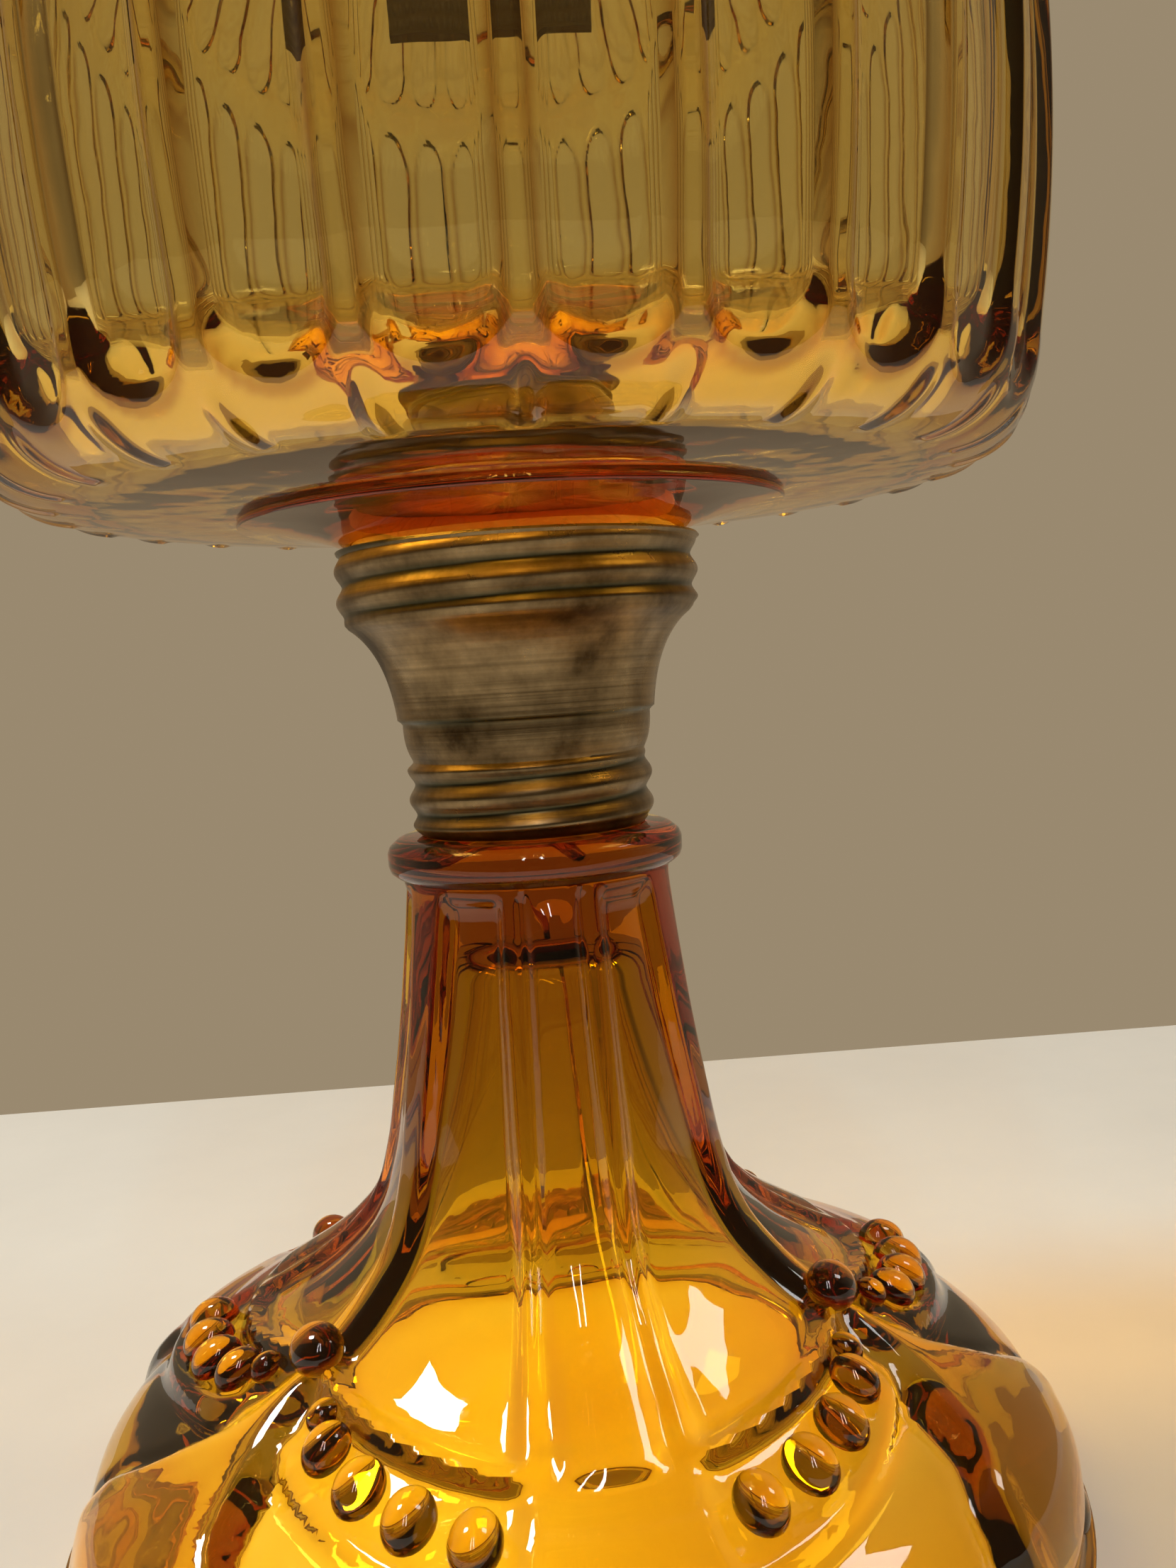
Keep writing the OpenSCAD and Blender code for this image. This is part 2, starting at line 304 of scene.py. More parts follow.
def mix_colors(tree, factor, first, second, mode="MIX"):
    node = tree.nodes.new("ShaderNodeMix")
    node.data_type = "RGBA"
    node.blend_type = mode
    for socket, value in ((node.inputs[0], factor), (node.inputs[6], first), (node.inputs[7], second)):
        if isinstance(value, bpy.types.NodeSocket):
            tree.links.new(value, socket)
        else:
            socket.default_value = value
    return node.outputs[2]


def ranged(tree, value, low, high, to_low, to_high):
    node = add(tree, "ShaderNodeMapRange", {"clamp": True})
    tree.links.new(value, node.inputs[0])
    for k, number in enumerate((low, high, to_low, to_high), start=1):
        node.inputs[k].default_value = number
    return node.outputs[0]


def effect(name, inputs, outputs, build):
    """A shader node group, made once; build(tree, entry, exit) fills it."""
    if name in bpy.data.node_groups:
        return bpy.data.node_groups[name]
    tree = bpy.data.node_groups.new(name, "ShaderNodeTree")
    for label, kind, value in inputs:
        socket = tree.interface.new_socket(name=label, in_out="INPUT", socket_type=kind)
        if value is not None:
            socket.default_value = value
    for label, kind in outputs:
        tree.interface.new_socket(name=label, in_out="OUTPUT", socket_type=kind)
    build(tree, tree.nodes.new("NodeGroupInput"), tree.nodes.new("NodeGroupOutput"))
    return tree


def grime_group():
    """Blotches and fine specks, each as a mask from 0 to 1."""
    def build(tree, entry, out):
        blotch = add(tree, "ShaderNodeTexNoise", Vector=entry.outputs["Place"],
                     Scale=entry.outputs["Blotch scale"], Detail=6.0, Roughness=0.62)
        speck = add(tree, "ShaderNodeTexNoise", Vector=entry.outputs["Place"],
                    Scale=entry.outputs["Speck scale"], Detail=3.0, Roughness=0.5)
        tree.links.new(ranged(tree, blotch.outputs["Fac"], 0.38, 0.66, 0, 1), out.inputs["Blotches"])
        tree.links.new(ranged(tree, speck.outputs["Fac"], 0.56, 0.7, 0, 1), out.inputs["Specks"])
    return effect("Grime", [("Place", "NodeSocketVector", None), ("Blotch scale", "NodeSocketFloat", 60.0),
                            ("Speck scale", "NodeSocketFloat", 700.0)],
                  [("Blotches", "NodeSocketFloat"), ("Specks", "NodeSocketFloat")], build)


def base_material(name):
    material = bpy.data.materials.new(name)
    material.use_nodes = True
    tree = material.node_tree
    tree.nodes.clear()
    shader = tree.nodes.new("ShaderNodeBsdfPrincipled")
    out = tree.nodes.new("ShaderNodeOutputMaterial")
    tree.links.new(shader.outputs[0], out.inputs["Surface"])
    place = tree.nodes.new("ShaderNodeTexCoord").outputs["Object"]
    return material, tree, shader, out, place


def place_grime(tree, place, blotch, speck):
    group = tree.nodes.new("ShaderNodeGroup")
    group.node_tree = grime_group()
    tree.links.new(place, group.inputs["Place"])
    group.inputs["Blotch scale"].default_value = blotch
    group.inputs["Speck scale"].default_value = speck
    return group


def glass_material(name, tint, film, absorb, density, ripple, painted_rib_shade=0.0):
    """Old pressed glass: a little uneven, faintly smeared, coloured by its thickness.
    Its last argument paints shade into the colour: darker where the piece's own rib-shade attribute is high."""
    material, tree, shader, out, place = base_material(name)
    grime = place_grime(tree, place, 38.0, 900.0)
    shader.inputs["Transmission Weight"].default_value = 1.0 - film
    shader.inputs["IOR"].default_value = GLASS_INDEX
    color = mix_colors(tree, grime.outputs["Blotches"], (*tint, 1), tuple(0.97 * c for c in tint) + (1,))
    # Painted shade: the colour darkens towards the rib-shade colour where the mask is high.
    if painted_rib_shade:
        rib_shade_mask = add(tree, "ShaderNodeAttribute", {"attribute_name": "rib_shade_mask"})
        share = ranged(tree, rib_shade_mask.outputs["Fac"], 0, 1, 0, painted_rib_shade)
        color = mix_colors(tree, share, color, RIB_SHADE_COLOR)
    tree.links.new(color, shader.inputs["Base Color"])
    tree.links.new(ranged(tree, grime.outputs["Specks"], 0, 1, 0.008, 0.07), shader.inputs["Roughness"])
    swell = add(tree, "ShaderNodeTexNoise", Vector=place, Scale=95.0, Detail=2.0)
    bump = add(tree, "ShaderNodeBump", Strength=ripple, Distance=0.0012, Height=swell.outputs["Fac"])
    tree.links.new(bump.outputs["Normal"], shader.inputs["Normal"])
    clear = add(tree, "ShaderNodeBsdfTransparent", Color=SHADOW_TINT)
    rays = tree.nodes.new("ShaderNodeLightPath")
    mixed = tree.nodes.new("ShaderNodeMixShader")
    tree.links.new(rays.outputs["Is Shadow Ray"], mixed.inputs[0])
    tree.links.new(shader.outputs[0], mixed.inputs[1])
    tree.links.new(clear.outputs[0], mixed.inputs[2])
    tree.links.new(mixed.outputs[0], out.inputs["Surface"])
    volume = add(tree, "ShaderNodeVolumeAbsorption", Color=(*absorb, 1), Density=density)
    tree.links.new(volume.outputs[0], out.inputs["Volume"])
    return material


def brass_material(name, bright, dark, rough, grooves=False):
    """Aged brass: rubbed bright in places, brown elsewhere, with fine turning marks."""
    material, tree, shader, _, place = base_material(name)
    grime = place_grime(tree, place, 70.0, 1400.0)
    stretch = add(tree, "ShaderNodeMapping", Vector=place, Scale=(6.0, 6.0, 900.0))
    marks = add(tree, "ShaderNodeTexNoise", Vector=stretch.outputs[0], Scale=2.2, Detail=4.0)
    color = mix_colors(tree, grime.outputs["Blotches"], (*bright, 1), (*dark, 1))
    color = mix_colors(tree, ranged(tree, marks.outputs["Fac"], 0.35, 0.7, 0, 0.45), color, (*dark, 1))
    if grooves:
        groove = add(tree, "ShaderNodeAttribute", {"attribute_name": "groove"})
        color = mix_colors(tree, ranged(tree, groove.outputs["Fac"], 0, 1, 0, 0.85), color,
                           (0.035, 0.04, 0.022, 1))
    tree.links.new(color, shader.inputs["Base Color"])
    shader.inputs["Metallic"].default_value = 1.0
    tree.links.new(ranged(tree, grime.outputs["Blotches"], 0, 1, rough, rough + 0.2),
                   shader.inputs["Roughness"])
    bump = add(tree, "ShaderNodeBump", Strength=0.25, Distance=0.0002, Height=marks.outputs["Fac"])
    tree.links.new(bump.outputs["Normal"], shader.inputs["Normal"])
    return material


def steel_material():
    material, tree, shader, _, place = base_material("dull_steel_wire")
    grime = place_grime(tree, place, 120.0, 1500.0)
    tree.links.new(mix_colors(tree, grime.outputs["Blotches"], (0.42, 0.41, 0.39, 1), (0.2, 0.16, 0.12, 1)),
                   shader.inputs["Base Color"])
    shader.inputs["Metallic"].default_value = 1.0
    tree.links.new(ranged(tree, grime.outputs["Specks"], 0, 1, 0.35, 0.6), shader.inputs["Roughness"])
    return material


def plaster_material():
    material, tree, shader, _, place = base_material("set_plaster")
    grime = place_grime(tree, place, 90.0, 1100.0)
    tree.links.new(mix_colors(tree, grime.outputs["Blotches"], (0.78, 0.73, 0.64, 1), (0.6, 0.53, 0.42, 1)),
                   shader.inputs["Base Color"])
    shader.inputs["Roughness"].default_value = 0.92
    bump = add(tree, "ShaderNodeBump", Strength=0.5, Distance=0.0004, Height=grime.outputs["Specks"])
    tree.links.new(bump.outputs["Normal"], shader.inputs["Normal"])
    return material


def wick_material(soak_from, soak_to, char_from, char_to):
    """Flat woven cotton, stained brown where it hung in oil and charred along its top edge."""
    material, tree, shader, _, place = base_material("woven_cotton")
    grime = place_grime(tree, place, 80.0, 1200.0)
    warp = add(tree, "ShaderNodeTexWave", {"bands_direction": "X"}, Vector=place, Scale=240.0, Distortion=0.6)
    weft = add(tree, "ShaderNodeTexWave", {"bands_direction": "Z"}, Vector=place, Scale=180.0, Distortion=0.6)
    weave = add(tree, "ShaderNodeMath", {"operation": "MULTIPLY"})
    tree.links.new(warp.outputs["Fac"], weave.inputs[0])
    tree.links.new(weft.outputs["Fac"], weave.inputs[1])
    height = add(tree, "ShaderNodeSeparateXYZ", Vector=place).outputs["Z"]
    color = mix_colors(tree, weave.outputs[0], (0.42, 0.34, 0.23, 1), (0.72, 0.65, 0.52, 1))
    stained = ranged(tree, grime.outputs["Blotches"], 0, 1, 0, 0.4)
    color = mix_colors(tree, stained, color, (0.4, 0.3, 0.18, 1))
    soaked = ranged(tree, height, soak_from, soak_to, 0.96, 0.15)
    color = mix_colors(tree, soaked, color, (0.03, 0.014, 0.006, 1))
    charred = ranged(tree, height, char_from, char_to, 0, 1)
    color = mix_colors(tree, charred, color, (0.012, 0.01, 0.008, 1))
    tree.links.new(color, shader.inputs["Base Color"])
    shader.inputs["Roughness"].default_value = 0.95
    bump = add(tree, "ShaderNodeBump", Strength=0.8, Distance=0.0004, Height=weave.outputs[0])
    tree.links.new(bump.outputs["Normal"], shader.inputs["Normal"])
    return material


def coat(obj, material):
    obj.data.materials.clear()
    obj.data.materials.append(material)


def material(name):
    """The finish for a slot of that name, made the first time it is asked for.
    The frame brings in plain materials with the slots' names, so these have names of their own."""
    if name in FINISHES:
        return FINISHES[name]
    glass = bpy.context.scene.oil_lamp_glass
    brass = bpy.context.scene.oil_lamp_brass
    makers = {
        "amber_foot_glass": lambda: glass_material(
            "pressed_amber_foot", (0.98, 0.87, 0.5), 0.006, glass.foot_color, glass.foot_depth, 0.06),
        # The font's last number is the share of painted shade along its flute edges.
        "honey_font_glass": lambda: glass_material(
            "pressed_honey_font", (1.0, 0.93, 0.62), 0.008, glass.font_color, glass.font_depth, 0.1, 0.8),
        "patinated_brass": lambda: brass_material(
            "spun_brass_patina", brass.connector_color, (0.055, 0.034, 0.014), 0.24, grooves=True),
        "burner_brass": lambda: brass_material(
            "satin_burner_brass", brass.burner_color, (0.24, 0.165, 0.075), 0.26),
        "steel_wire": steel_material,
        "plaster": plaster_material,
        "cotton_wick": lambda: wick_material(*(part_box("wick")[1][2] - gap for gap in WICK_BANDS)),
    }
    FINISHES[name] = makers[name]()
    return FINISHES[name]


# ---------------------------------------------------------------- foot

def foot_path():
    """Outline of the foot from its inner rim edge, out, up and over the peg, and down inside."""
    rim = bow((56.2, 0), (60.9, 0), (60.9, 3.2), 10)
    skirt, _ = resample(FOOT_ENVELOPE[::-1], 0.72)
    skirt = relaxed(skirt, 6)
    neck = [(15.8, 79.9), (16.7, 80.3), (17.4, 80.9), (17.6, 81.6), (17.6, 83.1), (17.3, 83.8), (16.3, 84.6),
            (15.4, 84.9), (11.2, 84.9), (11.2, 97.0), (10.2, 98.0), (0, 98.0)]
    hollow = np.concatenate([
        [(0, 72)], bow((2, 72), (9, 71.5), (9, 66), 8), bow((9, 66), (14.5, 36), (31, 25.5), 30)[1:],
        bow((31, 25.5), (53.7, 18.5), (55.6, 6), 24)[1:], [(55.9, 3)]])
    return rim, skirt, np.array(neck), hollow


def foot_angles(angle):
    """Degrees off the middle of the nearest of the three ribbons, -60 to 60."""
    return (angle - FOOT_TURN + 60) % 120 - 60


def swag_edge(a):
    """Distance down the foot of the swag's upper edge, a degrees off the ribbon."""
    return 61.5 - 7.8 * (np.abs(a) / 57) ** 1.6


def swag_outer(a):
    """Distance down the foot of the swag's lower edge, a degrees off the ribbon."""
    return 76 - 12 * (np.abs(a) / 53) ** 1.5


def foot_relief(angle, s, radius):
    """Height of the pressed pattern over the envelope, in mm, at distance s down the foot."""
    a = foot_angles(angle)
    away = np.abs(a)
    per_degree = radius * math.pi / 180
    strip = np.interp(s, [12, 27, 48, 60, 70, 95], [19, 17.5, 14, 12.6, 12, 12])
    rib = np.interp(s, [35, 46, 60, 65], [10.3, 9.5, 8.0, 7.5])
    column = np.interp(s, [0, 30, 54], [3.2, 2.0, 1.4])
    edge = swag_edge(a)
    outer = swag_outer(a)

    rise = np.zeros_like(s)
    # Smooth sunk windows between the ribbon's strips and the narrow columns.
    inside = np.minimum.reduce([(away - strip) * per_degree, (60 - away) * per_degree - column,
                                edge - s, s - 0.8])
    rise -= 1.6 * step_up(inside, 0, 1.4)
    # Rounded rib down the middle of the ribbon, with a groove beside it.
    across = np.clip(away / rib, 0, 1)
    within = np.minimum((rib - away) * per_degree, 62.6 - s)
    rise += (0.1 + 0.8 * (1 - across ** 2)) * step_up(within, 0, 0.7) * step_up(s, 0.5, 4)
    beside = np.abs((away - rib) * per_degree - 0.5)
    rise -= 0.5 * step_up(0.8 - beside, 0, 0.6) * step_up(62 - s, 0, 2)
    # Two raised lines under the rib.
    for line in (64.7, 66.3):
        rise += 0.45 * step_up(0.75 - np.abs(s - line), 0, 0.6) * step_up((strip - away) * per_degree, 0, 1)

    # The swag's border ridge and the sunk skirt below it.
    in_strip = step_up((strip - away) * per_degree, -0.8, 0.8)
    ridge = np.abs(outer - 1.2 - s)
    rise += 0.9 * step_up(1.5 - ridge, 0, 1.4) * (1 - in_strip)
    rise += 0.8 * step_up(1.3 - np.abs(edge + 0.9 - s), 0, 1.3) * (1 - in_strip)
    thin_rim = 1 - 0.6 * step_up(s, 86, 93)
    rise -= 0.9 * step_up(s - edge, 0.2, 2.2) * (1 - in_strip)
    below = step_up(s - outer, -0.4, 1.6)
    rise -= below * 1.5 * (1 - 0.6 * in_strip) * thin_rim

    # Puffed petals under the knots.
    half = np.interp(s, [54.5, 58, 65, 74, 78, 84, 90, 94], [1.2, 4.2, 8, 13, 17, 19, 18, 14])
    half = half * per_degree
    sideways = (60 - away) * per_degree
    t = np.clip(sideways / np.maximum(half, 0.1), 0, 1)
    lower = np.sqrt(np.clip(1 - np.clip((s - 80) / 14.5, 0, 1) ** 4, 0, 1))
    dome = np.sqrt(np.clip(1 - t ** 2.2, 0, 1)) * lower
    roll = 0.55 * step_up(2.6 - np.abs(sideways - half + 3.0), 0, 2.4) * step_up(half, 5, 9)
    petal_zone = step_up(half - sideways, -0.9, 0.9) * step_up(s, 54, 57)
    rise = rise * (1 - petal_zone) + petal_zone * (-3.2 * thin_rim + (3.2 * thin_rim + 0.2) * dome + roll)
    # A narrow valley where petal and swag meet.
    valley = np.abs(sideways - half - 0.8)
    rise -= 0.9 * step_up(1.3 - valley, 0, 1.1) * step_up(s, 55, 60) * step_up(90 - s, 0, 3)
    # The skirt draws in a little over the plain rim.
    rise -= 0.6 * step_up(1.4 - np.abs(s - 93.2), 0, 1.2) * (1 - in_strip)
    return rise


def foot_frame(psi, s, track):
    """Point, outward normal, side and down directions on the foot at an angle and distance."""
    angle = math.radians(psi + FOOT_TURN)
    r = float(np.interp(s, track[:, 0], track[:, 1]))
    z = float(np.interp(s, track[:, 0], track[:, 2]))
    r2, z2 = (float(np.interp(s + 0.5, track[:, 0], track[:, k])) for k in (1, 2))
    out_dir = np.array([math.sin(angle), -math.cos(angle), 0.0])
    down = np.array([*(out_dir[:2] * (r2 - r)), z2 - z])
    down /= np.linalg.norm(down)
    side = np.array([math.cos(angle), math.sin(angle), 0.0])
    normal = np.cross(side, down)
    normal = normal if normal @ np.array([*out_dir[:2], 0.6]) > 0 else -normal
    rise = float(foot_relief(np.array([psi + FOOT_TURN]), np.array([s]), np.array([r]))[0])
    return np.array([*(out_dir[:2] * r), z]) + normal * rise, normal, side, down


def build_foot():
    rim, skirt, neck, hollow = foot_path()
    outline = np.concatenate([rim, skirt[1:], neck, hollow])
    down = np.concatenate([[0], np.cumsum(np.hypot(*np.diff(skirt[::-1], axis=0).T))])
    track = np.column_stack([down, skirt[::-1]])
    first = len(rim)
    last = first + len(skirt) - 1
    s_of = np.zeros(len(outline))
    s_of[first - 1:last] = down[::-1]

    foot = turned("pressed_glass_foot", [tuple(p) for p in outline], FOOT_STEPS)

    def towards_ribbon(angle):
        phase = 2 * math.pi * ((angle / 120) % 1)
        return angle - 120 * (0.05 * np.sin(phase) + 0.02 * np.sin(3 * phase)) + FOOT_TURN

    def height(angle, index, radius, _):
        on_skirt = (index >= first) & (index < last - 1)
        rise = foot_relief(angle, s_of[index], radius)
        return np.where(on_skirt, rise, 0)

    # More of the spun meridians run down the ribbon, whose lines are the finest, and fewer past the knots.
    crowd(foot, towards_ribbon)
    on_skirt = relief(foot, outline, height, last)
    soften(foot, (on_skirt >= first) & (on_skirt < last - 1), 3)
    beads = []
    for turn in (0, 120, 240):
        for side in (-1, 1):
            for psi, s, half in SWAG_BEADS:
                middle, normal, across, along = foot_frame(side * psi + turn, s, track)
                beads.append(ellipsoid("bead", middle + normal * 0.25 * half, (across, along, normal),
                                       (half * 0.98, half * 1.22, half)))
        middle, normal, across, along = foot_frame(60 + turn, 53.7, track)
        beads.append(ellipsoid("knot", middle, (across, along, normal), (3.4, 3.0, 2.6), 28, 16))
        for shift in (-8.5, 8.5):
            middle, normal, across, along = foot_frame(60 + turn + shift, 95.0, track)
            axes = (across, along, normal)
            beads.append(ellipsoid("toe", middle - normal * 0.8, axes, (5.2, 2.6, 2.0), 28, 16))
    merge_solids(foot, beads)
    smooth(foot, 38)
    coat(foot, material("amber_foot_glass"))
    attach(foot, "lamp")
    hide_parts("foot")


# ---------------------------------------------------------------- connector

def build_connector():
    top = CONNECTOR_TOP
    body = np.concatenate([
        [(13.35, CONNECTOR_LOW)],
        [(13.75, z) for z in np.arange(85.5, 93.8, 0.22)],
        bow((13.9, 94.0), (14.75, 95.6), (14.7, 98.1), 12), [(14.95, 98.4), (15.28, 98.65)],
        bow((15.3, 98.9), (16.1, 106.6), (20.1, 109.5), 24), [(20.5, 110.0)],
        [(20.5, z) for z in np.arange(110.3, top - 0.5, 0.22)],
        [(20.9, top - 0.3), (20.9, top), (19.9, top)]])
    inner = body[::-1].copy()[3:-1]
    inner[:, 0] -= SHEET
    shell = turned("spun_brass_connector", [tuple(p) for p in np.concatenate([body, inner])], RING_STEPS)

    places = coords(shell)
    radius, angle = polar(places)
    z = places[:, 2]
    rise = np.zeros(len(places))
    groove = np.zeros(len(places))
    for start, low, high in THREADS:
        phase = (z - start) / THREAD_PITCH - angle / 360
        crest = (0.5 + 0.5 * np.cos(2 * math.pi * phase)) ** 0.8
        window = step_up(z, low - 0.2, low + 1.2) * step_up(high - z, -0.2, 0.9)
        rise += THREAD_RISE * crest * window
        groove = np.maximum(groove, (1 - crest) ** 3 * window)
    groove = np.maximum(groove, step_up(0.5 - np.abs(z - 98.4), 0, 0.4))
    scale = (radius + rise) / radius
    places[:, 0] *= scale
    places[:, 1] *= scale
    set_coords(shell, places)
    mask = shell.data.attributes.new("groove", "FLOAT", "POINT")
    mask.data.foreach_set("value", groove)
    smooth(shell, 50)
    coat(shell, material("patinated_brass"))
    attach(shell, "lamp")
    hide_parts("connector")


# ---------------------------------------------------------------- font

def font_path():
    """Outline of the font: peg, underside, wall, shoulder, neck, then the inside back to the axis."""
    outside = [(0, 109.5), (17, 109.5), (17, 117.6)]
    under = np.concatenate([
        bow((19.4, 118.6), (23.3, 120.8), (31.6, 121.4), 10),
        [(31.8, 121.8), (31.6, 122.2)],
        bow((33.0, 122.4), (42.0, 122.5), (50.0, 123.4), 16)])
    corner = bow((50.5, 123.5), (58.9, 124.4), (59.6, 134.0), 40)
    wall = bow((59.6, 134.4), (62.0, 150.0), (61.5, 166.0), 16)[1:]
    upper = bow((61.5, 166.0), (61.1, 181.0), (54.8, 190.6), 36)[1:]
    dome = bow((54.8, 190.6), (46.0, 197.8), (23.5, 203.4), 40)[1:]
    neck = [(20, 204.8), (20, 210.4), (17, 210.4), (17, 203)]
    inside = np.concatenate([
        bow((19.5, 200.6), (44.1, 194.2), (51.4, 187.8), 12),
        bow((51.4, 187.8), (58.2, 181.4), (58.6, 160), 14)[1:],
        bow((58.6, 160), (58.9, 152), (57.2, 139), 10)[1:],
        bow((57.2, 139), (55.4, 128.4), (43.6, 128), 14)[1:],
        [(20, 128), (0, 128)]])
    return np.array(outside), under, corner, wall, upper, dome, np.array(neck), inside


def build_font():
    flutes = bpy.context.scene.oil_lamp_glass.flutes
    pitch = 360 / flutes
    outside, under, corner, wall, upper, dome, neck, inside = font_path()
    outline = np.concatenate([outside, under, corner, wall, upper, dome, neck, inside])
    font = turned("fluted_glass_font", [tuple(p) for p in outline], FONT_STEPS, open_chain=True)

    def towards_ribs(angle):
        phase = (angle / pitch) % 1
        return angle - pitch * RIB_CROWDING * np.sin(2 * math.pi * phase) / (2 * math.pi) + FONT_TURN

    start = len(outside) + len(under)
    outer_end = start + len(corner) + len(wall) + len(upper) + len(dome)
    inner_start = outer_end + len(neck)

    painted_rib_shade = []    # painted shade along the flutes' edges, filled by height(), which relief() calls once

    def height(angle, index, radius, z):
        off = (angle - FONT_TURN + pitch / 2) % pitch - pitch / 2
        off = pitch / 2 - np.abs(off)
        u = off * radius * math.pi / 180
        half = (pitch / 2) * radius * math.pi / 180 - FLUTE_EDGE
        arc = np.where(z < FLUTE_LOW, np.hypot(u, z - FLUTE_LOW), u)
        arc = np.where(z > FLUTE_HIGH, np.hypot(u, (z - FLUTE_HIGH) * 1.05), arc)
        foot_end = step_up(z, 124.5, 134)
        deep = step_up(half - arc, 0, 3.4 - 2.3 * foot_end)
        across = np.clip(u / np.maximum(half, 0.1), 0, 1)
        wall_flute = deep * (0.45 + 0.85 * foot_end + 0.25 * (1 - across ** 2)) * (z < FLUTE_TOP)
        top_arc = np.where(z < DOME_LOW, np.hypot(u * 0.95, (DOME_LOW - z) * 1.35), u)
        dome_panel = step_up(half - top_arc, 0, 0.9) * (z > 187.5) * step_up(201.5 - z, 0, 2.5)
        rise = -np.maximum(wall_flute, 0.8 * dome_panel)
        # Small points where two flute ends meet on the lower edge.
        spandrel = step_up(128.5 - z, 0, 3.0) * step_up(1.6 - (half + FLUTE_EDGE - u), 0, 1.4)
        rise += 0.35 * spandrel * (z < 128.5)
        outer = (index >= start) & (index < outer_end)
        inner = index >= inner_start
        # Painted shade: a dark line along each flute's edge on the outer wall, where the thick glass looks
        # dark.
        painted_rib_shade.append(outer * step_up(0.95 - np.abs(half - arc - 0.2), 0, 0.7) * step_up(z, 124, 127)
                     * step_up(186 - z, 0, 6))
        ripple = 0.16 * np.cos(2 * math.pi * (angle - FONT_TURN) / pitch)
        ripple += 0.1 * np.sin(np.radians(4 * angle + 5 * z))
        ripple *= step_up(radius, 30, 50) * step_up(z, 128.5, 136)
        return np.where(outer, rise, np.where(inner, ripple * 0.8, 0))

    # More of the spun meridians run at the ribs, where the surface turns quickest.
    crowd(font, towards_ribs)
    relief(font, outline, height, len(outline))
    # Stores the painted shade mask for the font's material.
    mask = font.data.attributes.new("rib_shade_mask", "FLOAT", "POINT")
    mask.data.foreach_set("value", painted_rib_shade[0])
    smooth(font, 55)
    coat(font, material("honey_font_glass"))
    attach(font, "lamp")
    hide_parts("font")


# ---------------------------------------------------------------- burner, plaster, wick

def finish_frame_pieces():
    """Gives each piece that stays from the frame its own finish."""
    finishes = {
        "plaster": ("plaster_lower", "plaster_upper", "collar_plaster"),
        "burner_brass": ("collar", "burner_base", "air_basket", "air_diaphragm", "wick_tube", "vent_tube",
                         "gallery_ring", "chimney_prongs", "deflector_cone", "shaft_sleeve", "wick_knob"),
        "steel_wire": ("wick_shaft", "spur_wheels"),
    }
    for finish, nodes in finishes.items():
        for node in nodes:
            coat(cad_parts[node], material(finish))


def build_wick():
    """A flat woven strip with a slightly frayed top edge and a soft wave below."""
    low, high = (np.array(corner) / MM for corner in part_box("wick"))
    clear_selection()
    bpy.ops.mesh.primitive_cube_add(size=0.001)
    wick = bpy.context.object
    wick.name = "woven_wick"
    bpy.ops.object.mode_set(mode="EDIT")
    bpy.ops.mesh.select_all(action="SELECT")
    bpy.ops.mesh.subdivide(number_cuts=31)
    bpy.ops.object.mode_set(mode="OBJECT")
    places = coords(wick)
    unit = places + 0.5
    shaped = low + unit * (high - low)
    threads = np.sin(unit[:, 0] * math.pi * 2 * 12) * 0.09 + np.sin(unit[:, 2] * math.pi * 2 * 15) * 0.06
    face = np.sign(places[:, 1]) * (np.abs(places[:, 1]) > 0.49)
    shaped[:, 1] += face * (threads - 0.15)
    fray = np.sin(unit[:, 0] * 61) * np.sin(unit[:, 0] * 23 + 1.3)
    shaped[:, 2] -= (unit[:, 2] > 0.99) * (0.25 + 0.25 * fray)
    set_coords(wick, shaped)
    smooth(wick, 60)
    coat(wick, material("cotton_wick"))
    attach(wick, "wick")
    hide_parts("wick")


# ---------------------------------------------------------------- stage

def camera_frame(yaw, pitch, roll):
    """Right, up and forward directions of the camera."""
    forward = Vector((math.sin(yaw) * math.cos(pitch), math.cos(yaw) * math.cos(pitch), -math.sin(pitch)))
    level = Vector((math.cos(yaw), -math.sin(yaw), 0))
    upright = level.cross(forward)
    right = math.cos(roll) * level - math.sin(roll) * upright
    up = math.sin(roll) * level + math.cos(roll) * upright
    return right, up, forward


def area_light(name, place, target, width, height, watts):
    bpy.ops.object.light_add(type="AREA", location=place)
    light = bpy.context.object
    light.name = name
    light.data.shape = "RECTANGLE"
    light.data.size = width
    light.data.size_y = height
    light.data.energy = watts
    light.rotation_euler = (Vector(target) - Vector(place)).to_track_quat("-Z", "Y").to_euler()


def floor_material(color):
    material, tree, shader, _, place = base_material("pale_painted_floor")
    grime = place_grime(tree, place, 14.0, 260.0)
    shade = tuple(0.95 * c for c in color)
    tree.links.new(mix_colors(tree, grime.outputs["Blotches"], (*color, 1), (*shade, 1)),
                   shader.inputs["Base Color"])
    shader.inputs["Roughness"].default_value = 0.6
    return material


